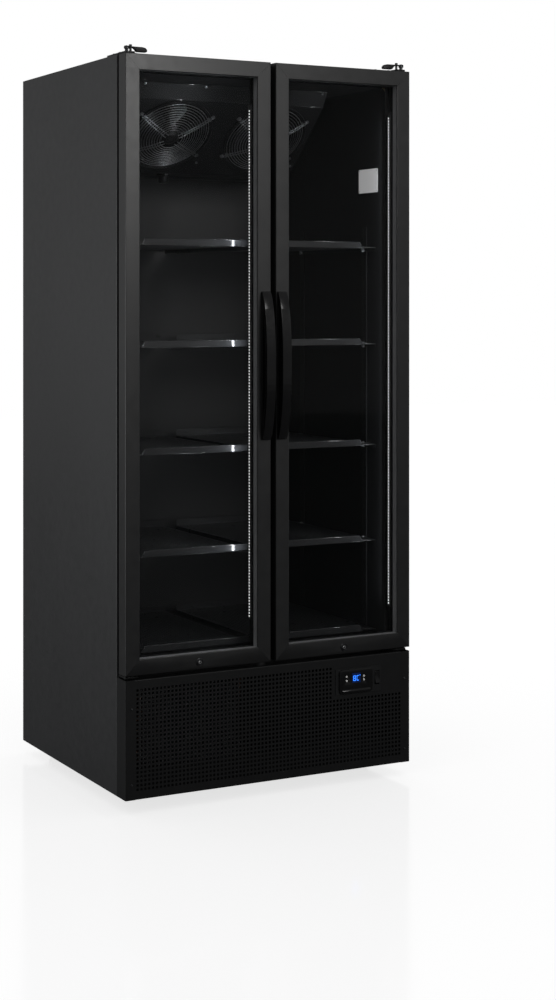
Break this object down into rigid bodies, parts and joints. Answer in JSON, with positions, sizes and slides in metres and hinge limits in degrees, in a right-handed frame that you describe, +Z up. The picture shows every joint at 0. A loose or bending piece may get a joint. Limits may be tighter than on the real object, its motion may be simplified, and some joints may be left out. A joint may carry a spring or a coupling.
{
  "type": "glass door merchandiser",
  "caption": "Upright black refrigerated display cabinet with two hinged glass doors, coated shelves, perforated grille, thermostat panel and castors.",
  "frame": {"origin": "on the ground under the middle of the overall box", "axes": "+Z up, doors face -Y, +X to the right of a person who faces the doors"},
  "size_m": [0.89, 0.7766, 2.0278],
  "materials": {
    "cabinet_paint": "fine satin black powder coat",
    "door_paint": "satin black anodised frame",
    "zinc_steel": "zinc plated",
    "foam": "closed cell foam, hidden",
    "liner_plastic": "matte black",
    "fin_aluminium": "thin fins",
    "black_enamel": "semi-gloss black",
    "moulded_plastic": "matte moulded",
    "gloss_plastic": "gloss black moulded",
    "white_plastic": "satin white",
    "shelf_coating": "semi-gloss dark coating",
    "glass": "clear toughened",
    "seal_rubber": "soft magnetic seal",
    "led_white": "lit diffuser",
    "chrome": "bright plated",
    "wheel_plastic": "grey moulded"
  },
  "bodies": {
    "cabinet": {"left_side_panel": "cabinet_paint", "right_side_panel": "cabinet_paint", "top_panel": "cabinet_paint", "rear_panel": "cabinet_paint", "center_mullion": "cabinet_paint", "evaporator_cover": "cabinet_paint", "grille_panel": "cabinet_paint", "base_frame": "zinc_steel", "insulation_foam": "foam", "inner_liner": "liner_plastic", "evaporator_coil": "fin_aluminium", "condenser_coil": "fin_aluminium", "compressor": "black_enamel", "controller_bezel": "gloss_plastic", "fan_guard_left": "black_enamel", "shelf_left_1": "shelf_coating", "shelf_left_2": "shelf_coating", "shelf_left_3": "shelf_coating", "shelf_left_4": "shelf_coating", "floor_shelf_left": "shelf_coating", "top_hinge_left": "black_enamel", "bottom_hinge_left": "black_enamel", "fan_guard_right": "black_enamel", "shelf_right_1": "shelf_coating", "shelf_right_2": "shelf_coating", "shelf_right_3": "shelf_coating", "shelf_right_4": "shelf_coating", "floor_shelf_right": "shelf_coating", "top_hinge_right": "black_enamel", "bottom_hinge_right": "black_enamel"},
    "door_left": {"door_frame_left": "door_paint", "glass_outer_left": "glass", "glass_inner_left": "glass", "door_gasket_left": "seal_rubber", "door_handle_left": "gloss_plastic", "led_strip_left": "led_white"},
    "lock_left": {"lock_plug_left": "chrome"},
    "door_right": {"door_frame_right": "door_paint", "glass_outer_right": "glass", "glass_inner_right": "glass", "door_gasket_right": "seal_rubber", "door_handle_right": "gloss_plastic", "led_strip_right": "led_white"},
    "lock_right": {"lock_plug_right": "chrome"},
    "evaporator_fan_left": {"fan_blade_left": "moulded_plastic"},
    "evaporator_fan_right": {"fan_blade_right": "moulded_plastic"},
    "condenser_fan": {"condenser_fan_blade": "moulded_plastic"},
    "castor_front_left": {"castor_fork_front_left": "zinc_steel"},
    "wheel_front_left": {"castor_wheel_front_left": "wheel_plastic"},
    "castor_rear_left": {"castor_fork_rear_left": "zinc_steel"},
    "wheel_rear_left": {"castor_wheel_rear_left": "wheel_plastic"},
    "castor_front_right": {"castor_fork_front_right": "zinc_steel"},
    "wheel_front_right": {"castor_wheel_front_right": "wheel_plastic"},
    "castor_rear_right": {"castor_fork_rear_right": "zinc_steel"},
    "wheel_rear_right": {"castor_wheel_rear_right": "wheel_plastic"},
    "button_menu": {"button_menu": "white_plastic"},
    "button_set": {"button_set": "white_plastic"},
    "button_up": {"button_up": "white_plastic"},
    "button_down": {"button_down": "white_plastic"},
    "light_switch": {"light_switch": "moulded_plastic"}
  },
  "joints": [
    {"name": "door_hinge_left", "type": "hinge", "parent": "cabinet", "child": "door_left", "pos_m": [-0.431, -0.3283, 1.186], "axis": [0, 0, -1], "range_deg": [0, 110], "stiffness_Nm_per_rad": 1.2, "springref_deg": -22.92},
    {"name": "lock_turn_left", "type": "hinge", "parent": "door_left", "child": "lock_left", "pos_m": [-0.2265, -0.3523, 0.384], "axis": [0, 1, 0], "range_deg": [0, 90]},
    {"name": "door_hinge_right", "type": "hinge", "parent": "cabinet", "child": "door_right", "pos_m": [0.431, -0.3283, 1.186], "axis": [0, 0, 1], "range_deg": [0, 110], "stiffness_Nm_per_rad": 1.2, "springref_deg": -22.92},
    {"name": "lock_turn_right", "type": "hinge", "parent": "door_right", "child": "lock_right", "pos_m": [0.2265, -0.3523, 0.384], "axis": [0, 1, 0], "range_deg": [0, 90]},
    {"name": "evaporator_fan_spin_left", "type": "hinge", "parent": "cabinet", "child": "evaporator_fan_left", "pos_m": [-0.1555, -0.0183, 1.829], "axis": [0, -0.682, -0.7314], "continuous": true},
    {"name": "evaporator_fan_spin_right", "type": "hinge", "parent": "cabinet", "child": "evaporator_fan_right", "pos_m": [0.1555, -0.0183, 1.829], "axis": [0, -0.682, -0.7314], "continuous": true},
    {"name": "condenser_fan_spin", "type": "hinge", "parent": "cabinet", "child": "condenser_fan", "pos_m": [-0.215, -0.1503, 0.205], "axis": [0, 1, 0], "continuous": true},
    {"name": "castor_swivel_front_left", "type": "hinge", "parent": "cabinet", "child": "castor_front_left", "pos_m": [-0.375, -0.2323, 0.07], "axis": [0, 0, 1], "continuous": true},
    {"name": "wheel_roll_front_left", "type": "hinge", "parent": "castor_front_left", "child": "wheel_front_left", "pos_m": [-0.375, -0.2123, 0.025], "axis": [1, 0, 0], "continuous": true},
    {"name": "castor_swivel_rear_left", "type": "hinge", "parent": "cabinet", "child": "castor_rear_left", "pos_m": [-0.375, 0.2877, 0.07], "axis": [0, 0, 1], "continuous": true},
    {"name": "wheel_roll_rear_left", "type": "hinge", "parent": "castor_rear_left", "child": "wheel_rear_left", "pos_m": [-0.375, 0.3077, 0.025], "axis": [1, 0, 0], "continuous": true},
    {"name": "castor_swivel_front_right", "type": "hinge", "parent": "cabinet", "child": "castor_front_right", "pos_m": [0.375, -0.2323, 0.07], "axis": [0, 0, 1], "continuous": true},
    {"name": "wheel_roll_front_right", "type": "hinge", "parent": "castor_front_right", "child": "wheel_front_right", "pos_m": [0.375, -0.2123, 0.025], "axis": [1, 0, 0], "continuous": true},
    {"name": "castor_swivel_rear_right", "type": "hinge", "parent": "cabinet", "child": "castor_rear_right", "pos_m": [0.375, 0.2877, 0.07], "axis": [0, 0, 1], "continuous": true},
    {"name": "wheel_roll_rear_right", "type": "hinge", "parent": "castor_rear_right", "child": "wheel_rear_right", "pos_m": [0.375, 0.3077, 0.025], "axis": [1, 0, 0], "continuous": true},
    {"name": "press_menu", "type": "slide", "parent": "cabinet", "child": "button_menu", "axis": [0, 1, 0], "range_m": [0, 0.0008], "stiffness_N_per_m": 600},
    {"name": "press_set", "type": "slide", "parent": "cabinet", "child": "button_set", "axis": [0, 1, 0], "range_m": [0, 0.0008], "stiffness_N_per_m": 600},
    {"name": "press_up", "type": "slide", "parent": "cabinet", "child": "button_up", "axis": [0, 1, 0], "range_m": [0, 0.0008], "stiffness_N_per_m": 600},
    {"name": "press_down", "type": "slide", "parent": "cabinet", "child": "button_down", "axis": [0, 1, 0], "range_m": [0, 0.0008], "stiffness_N_per_m": 600},
    {"name": "light_switch_rock", "type": "hinge", "parent": "cabinet", "child": "light_switch", "pos_m": [0.3345, -0.3513, 0.289], "axis": [1, 0, 0], "range_deg": [0, 13.5]}
  ]
}
